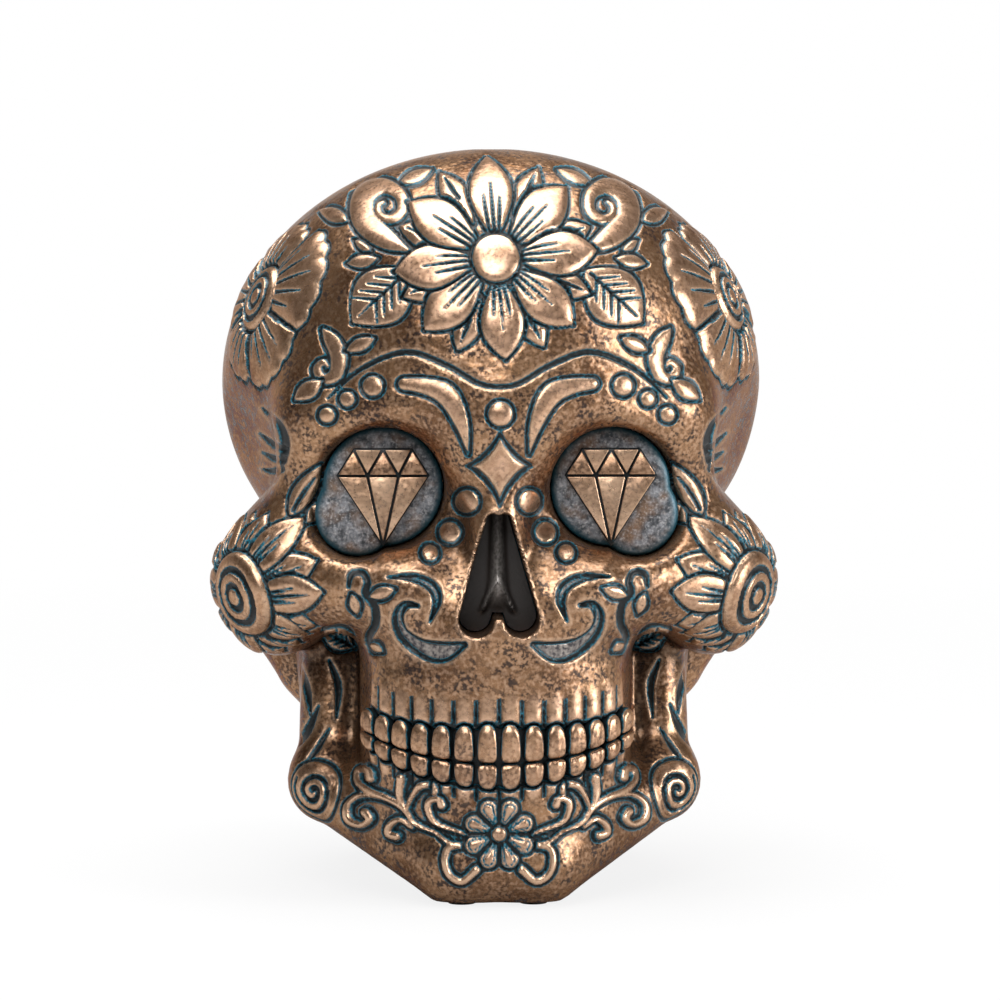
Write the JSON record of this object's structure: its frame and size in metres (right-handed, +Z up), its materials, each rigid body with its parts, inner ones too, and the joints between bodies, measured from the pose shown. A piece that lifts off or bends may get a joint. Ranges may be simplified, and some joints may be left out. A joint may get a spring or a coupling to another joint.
{
  "type": "sugar skull ornament",
  "caption": "Carved sugar skull ornament in bronze-finished cast resin, with set-in teeth, diamond eyes and felt feet, for standing on a shelf or table.",
  "frame": {"origin": "on the table, under the middle of the skull's box", "axes": "+Z up, -Y the way the face looks, +X to the right of someone looking at the face"},
  "size_m": [0.1142, 0.1234, 0.1472],
  "materials": {
    "bronze_resin": "satin",
    "silver_resin": "satin",
    "dark_resin": "satin",
    "felt": "matte"
  },
  "bodies": {
    "root": {"face_casting": "bronze_resin", "jaw_casting": "bronze_resin", "back_casting": "bronze_resin", "nasal_insert": "dark_resin", "eye_plate_left": "silver_resin", "eye_diamond_left": "bronze_resin", "chin_pad_left": "felt", "rear_pad_left": "felt", "eye_plate_right": "silver_resin", "eye_diamond_right": "bronze_resin", "chin_pad_right": "felt", "rear_pad_right": "felt", "upper_tooth_left_1": "bronze_resin", "upper_tooth_left_2": "bronze_resin", "upper_tooth_left_3": "bronze_resin", "upper_tooth_left_4": "bronze_resin", "upper_tooth_left_5": "bronze_resin", "upper_tooth_left_6": "bronze_resin", "upper_tooth_left_7": "bronze_resin", "lower_tooth_left_1": "bronze_resin", "lower_tooth_left_2": "bronze_resin", "lower_tooth_left_3": "bronze_resin", "lower_tooth_left_4": "bronze_resin", "lower_tooth_left_5": "bronze_resin", "lower_tooth_left_6": "bronze_resin", "lower_tooth_left_7": "bronze_resin", "upper_tooth_right_1": "bronze_resin", "upper_tooth_right_2": "bronze_resin", "upper_tooth_right_3": "bronze_resin", "upper_tooth_right_4": "bronze_resin", "upper_tooth_right_5": "bronze_resin", "upper_tooth_right_6": "bronze_resin", "upper_tooth_right_7": "bronze_resin", "lower_tooth_right_1": "bronze_resin", "lower_tooth_right_2": "bronze_resin", "lower_tooth_right_3": "bronze_resin", "lower_tooth_right_4": "bronze_resin", "lower_tooth_right_5": "bronze_resin", "lower_tooth_right_6": "bronze_resin", "lower_tooth_right_7": "bronze_resin"}
  },
  "joints": []
}
